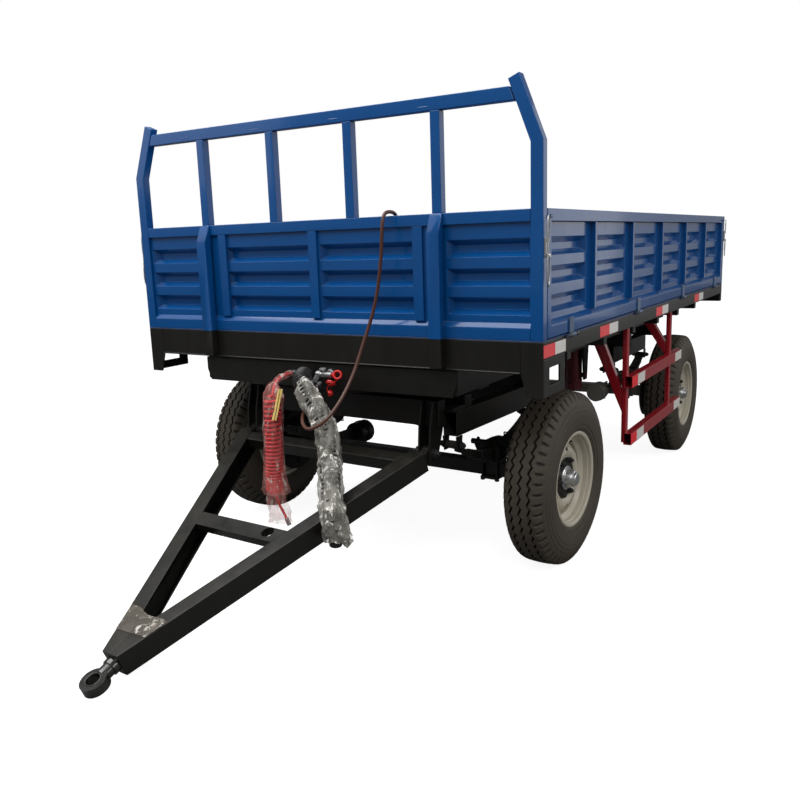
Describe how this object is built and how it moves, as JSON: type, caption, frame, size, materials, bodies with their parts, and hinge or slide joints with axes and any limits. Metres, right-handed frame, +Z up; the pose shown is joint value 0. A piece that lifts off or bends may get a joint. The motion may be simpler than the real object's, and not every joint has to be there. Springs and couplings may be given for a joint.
{
  "type": "farm dump trailer",
  "caption": "Drawbar farm trailer with a rear-tipping drop-side bed, ladder headboard, turntable steering, telescopic tipping cylinders and side guards.",
  "frame": {"origin": "on the ground, below the middle of the trailer's overall length, midway between its sides", "axes": "+X is the trailer's left side, -Y points forwards along the drawbar and +Z is up"},
  "size_m": [2.1404, 4.8962, 2.066],
  "materials": {
    "blue_steel": "glossy",
    "black_steel": "satin",
    "red_steel": "glossy",
    "dark_red_steel": "satin",
    "rim_paint": "satin",
    "zinc": "satin",
    "chrome": "polished",
    "tyre": "matt",
    "red_rubber": "satin",
    "black_rubber": "satin",
    "brown_rubber": "satin",
    "red_plastic": "glossy"
  },
  "bodies": {
    "chassis": {"chassis_frame": "black_steel", "rear_subframe": "black_steel", "turntable_upper": "black_steel", "rear_axle": "black_steel", "rear_springs": "black_steel", "hose_fittings": "zinc", "hose_air": "red_rubber", "hose_cable": "black_rubber", "hose_ends": "red_plastic"},
    "bed": {"bed_floor": "blue_steel", "bed_frame": "black_steel", "headboard_frame": "blue_steel", "headboard_panel": "blue_steel", "rear_posts": "blue_steel", "side_guards": "red_steel", "gate_latches": "zinc", "hose_hydraulic": "brown_rubber", "hydraulic_coupling": "zinc"},
    "left_side": {"side_left": "blue_steel", "side_left_fittings": "zinc"},
    "right_side": {"side_right": "blue_steel", "side_right_fittings": "zinc"},
    "tailgate": {"tailgate": "blue_steel", "tailgate_fittings": "zinc"},
    "bogie": {"bogie_frame": "black_steel", "turntable_lower": "black_steel", "front_axle": "black_steel", "front_springs": "black_steel"},
    "drawbar": {"drawbar_frame": "black_steel", "tow_eye": "black_steel"},
    "front_left_wheel": {"tyre_front_left": "tyre", "wheel_front_left": "rim_paint"},
    "front_right_wheel": {"tyre_front_right": "tyre", "wheel_front_right": "rim_paint"},
    "rear_left_wheel": {"tyre_rear_left": "tyre", "wheel_rear_left": "rim_paint"},
    "rear_right_wheel": {"tyre_rear_right": "tyre", "wheel_rear_right": "rim_paint"},
    "barrel_left": {"barrel_left": "dark_red_steel"},
    "stage_1_left": {"stage_1_left": "chrome"},
    "stage_2_left": {"stage_2_left": "chrome"},
    "stage_3_left": {"stage_3_left": "chrome"},
    "barrel_right": {"barrel_right": "dark_red_steel"},
    "stage_1_right": {"stage_1_right": "chrome"},
    "stage_2_right": {"stage_2_right": "chrome"},
    "stage_3_right": {"stage_3_right": "chrome"}
  },
  "joints": [
    {"name": "bed_tip", "type": "hinge", "parent": "chassis", "child": "bed", "pos_m": [0, 2.25292, 0.953], "axis": [-1, 0, 0], "range_deg": [0, 45], "deforming": ["hose_hydraulic"]},
    {"name": "left_side_drop", "type": "hinge", "parent": "bed", "child": "left_side", "pos_m": [1.06, 0.62792, 1.1], "axis": [0, 1, 0], "range_deg": [0, 180]},
    {"name": "right_side_drop", "type": "hinge", "parent": "bed", "child": "right_side", "pos_m": [-1.06, 0.62792, 1.1], "axis": [0, -1, 0], "range_deg": [0, 180]},
    {"name": "tailgate_drop", "type": "hinge", "parent": "bed", "child": "tailgate", "pos_m": [0, 2.43792, 1.1], "axis": [1, 0, 0], "range_deg": [-180, 0]},
    {"name": "steer", "type": "hinge", "parent": "chassis", "child": "bogie", "pos_m": [0, -0.51708, 0.838], "axis": [0, 0, 1], "range_deg": [-42.08, 47.92], "deforming": ["hose_air", "hose_cable", "hose_ends"]},
    {"name": "drawbar_pitch", "type": "hinge", "parent": "bogie", "child": "drawbar", "pos_m": [-0.02627, -1.03141, 0.59], "axis": [-0.9987, 0.051, 0], "range_deg": [0, 42]},
    {"name": "front_left_wheel_spin", "type": "hinge", "parent": "bogie", "child": "front_left_wheel", "pos_m": [0.87885, -0.56197, 0.4], "axis": [0.9987, -0.051, 0], "continuous": true},
    {"name": "front_right_wheel_spin", "type": "hinge", "parent": "bogie", "child": "front_right_wheel", "pos_m": [-0.87885, -0.47219, 0.4], "axis": [0.9987, -0.051, 0], "continuous": true},
    {"name": "rear_left_wheel_spin", "type": "hinge", "parent": "chassis", "child": "rear_left_wheel", "pos_m": [0.88, 1.67492, 0.4], "axis": [1, 0, 0], "continuous": true},
    {"name": "rear_right_wheel_spin", "type": "hinge", "parent": "chassis", "child": "rear_right_wheel", "pos_m": [-0.88, 1.67492, 0.4], "axis": [1, 0, 0], "continuous": true},
    {"name": "left_cylinder_swing", "type": "hinge", "parent": "chassis", "child": "barrel_left", "pos_m": [0.4, 1.02792, 0.6], "axis": [-1, 0, 0], "range_deg": [0, 18.58]},
    {"name": "left_stage_1_slide", "type": "slide", "parent": "barrel_left", "child": "stage_1_left", "axis": [0, 0, 1], "range_m": [0, 0.3077]},
    {"name": "left_stage_2_slide", "type": "slide", "parent": "stage_1_left", "child": "stage_2_left", "axis": [0, 0, 1], "range_m": [0, 0.3077]},
    {"name": "left_stage_3_slide", "type": "slide", "parent": "stage_2_left", "child": "stage_3_left", "axis": [0, 0, 1], "range_m": [0, 0.3077]},
    {"name": "right_cylinder_swing", "type": "hinge", "parent": "chassis", "child": "barrel_right", "pos_m": [-0.4, 1.02792, 0.6], "axis": [-1, 0, 0], "range_deg": [0, 18.58]},
    {"name": "right_stage_1_slide", "type": "slide", "parent": "barrel_right", "child": "stage_1_right", "axis": [0, 0, 1], "range_m": [0, 0.3077]},
    {"name": "right_stage_2_slide", "type": "slide", "parent": "stage_1_right", "child": "stage_2_right", "axis": [0, 0, 1], "range_m": [0, 0.3077]},
    {"name": "right_stage_3_slide", "type": "slide", "parent": "stage_2_right", "child": "stage_3_right", "axis": [0, 0, 1], "range_m": [0, 0.3077]}
  ],
  "couplings": [
    {"joint": "left_cylinder_swing", "follows": "bed_tip", "ratio": 0.39071},
    {"joint": "left_stage_1_slide", "follows": "bed_tip", "m_per_rad": 0.38674},
    {"joint": "left_stage_2_slide", "follows": "bed_tip", "m_per_rad": 0.38674},
    {"joint": "left_stage_3_slide", "follows": "bed_tip", "m_per_rad": 0.38674},
    {"joint": "right_cylinder_swing", "follows": "bed_tip", "ratio": 0.39071},
    {"joint": "right_stage_1_slide", "follows": "bed_tip", "m_per_rad": 0.38674},
    {"joint": "right_stage_2_slide", "follows": "bed_tip", "m_per_rad": 0.38674},
    {"joint": "right_stage_3_slide", "follows": "bed_tip", "m_per_rad": 0.38674}
  ]
}
